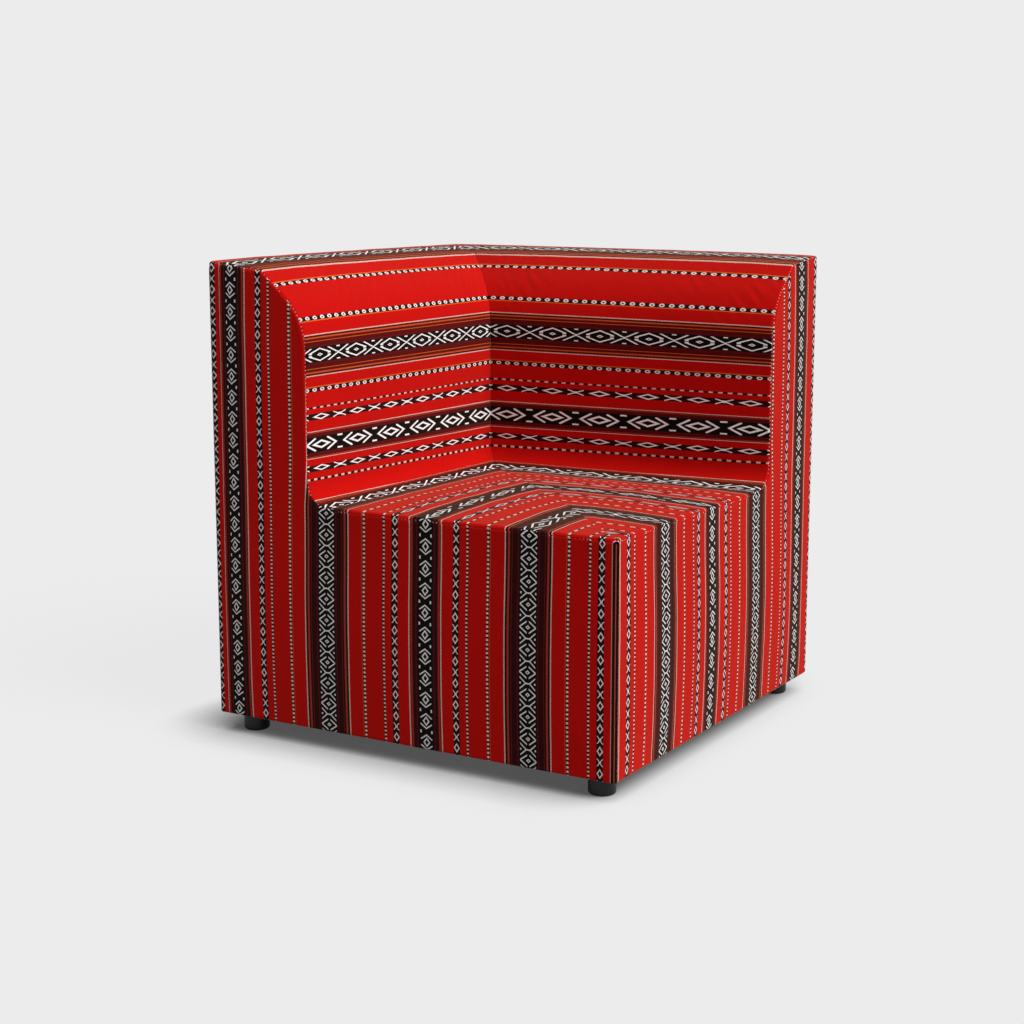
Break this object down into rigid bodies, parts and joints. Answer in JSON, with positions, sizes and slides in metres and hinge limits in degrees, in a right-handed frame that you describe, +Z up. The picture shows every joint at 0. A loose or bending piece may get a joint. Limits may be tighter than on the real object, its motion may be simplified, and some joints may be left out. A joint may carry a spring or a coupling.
{
  "type": "upholstered corner seat module",
  "caption": "Square floor-seating corner module: low upholstered seat with two backrests meeting at a right angle, patterned stripe cloth, short round feet.",
  "frame": {"origin": "middle of the footprint, on the floor", "axes": "+Z up; +X towards the right-hand side face; -Y towards the left-hand side face; the backrests stand along -X and +Y"},
  "size_m": [0.8, 0.8, 0.8338],
  "materials": {
    "woven_cloth": "flat-woven cloth, red ground with black, white and orange patterned stripes",
    "dust_cloth": "black non-woven",
    "foam": "open-cell foam",
    "foot_plastic": "moulded satin black",
    "zinc_steel": "zinc plated",
    "plywood": "raw plywood",
    "hardboard": "raw hardboard",
    "timber": "planed softwood"
  },
  "bodies": {
    "root": {"back_board_left": "hardboard", "back_board_right": "hardboard", "back_cover_left": "woven_cloth", "back_cover_right": "woven_cloth", "back_foam_left": "foam", "back_foam_right": "foam", "back_padding_left": "foam", "back_padding_right": "foam", "base_cross_left": "timber", "base_cross_right": "timber", "base_rail_back_left": "timber", "base_rail_back_right": "timber", "base_rail_left": "timber", "base_rail_right": "timber", "base_screws": "zinc_steel", "block_inserts": "zinc_steel", "corner_block_back": "timber", "corner_block_front": "timber", "corner_block_left": "timber", "corner_block_right": "timber", "dust_cover": "dust_cloth", "end_board_left": "plywood", "end_board_right": "plywood", "face_cover_left": "woven_cloth", "face_cover_right": "woven_cloth", "face_padding_left": "foam", "face_padding_right": "foam", "foot_back": "foot_plastic", "foot_front": "foot_plastic", "foot_left": "foot_plastic", "foot_right": "foot_plastic", "foot_studs": "zinc_steel", "front_board_left": "plywood", "front_board_right": "plywood", "outer_cover_left": "woven_cloth", "outer_cover_right": "woven_cloth", "post_back": "timber", "post_front": "timber", "post_inner_back": "timber", "post_inner_left": "timber", "post_inner_right": "timber", "post_left": "timber", "post_right": "timber", "seat_cover_left": "woven_cloth", "seat_cover_right": "woven_cloth", "seat_deck": "plywood", "seat_foam": "foam", "seat_ledger_left": "timber", "seat_ledger_right": "timber", "seat_rail_left": "timber", "seat_rail_right": "timber", "seat_stretcher": "timber", "top_board_left": "plywood", "top_board_right": "plywood", "top_rail_inner_left": "timber", "top_rail_inner_right": "timber", "top_rail_outer_left": "timber", "top_rail_outer_right": "timber"}
  },
  "joints": []
}
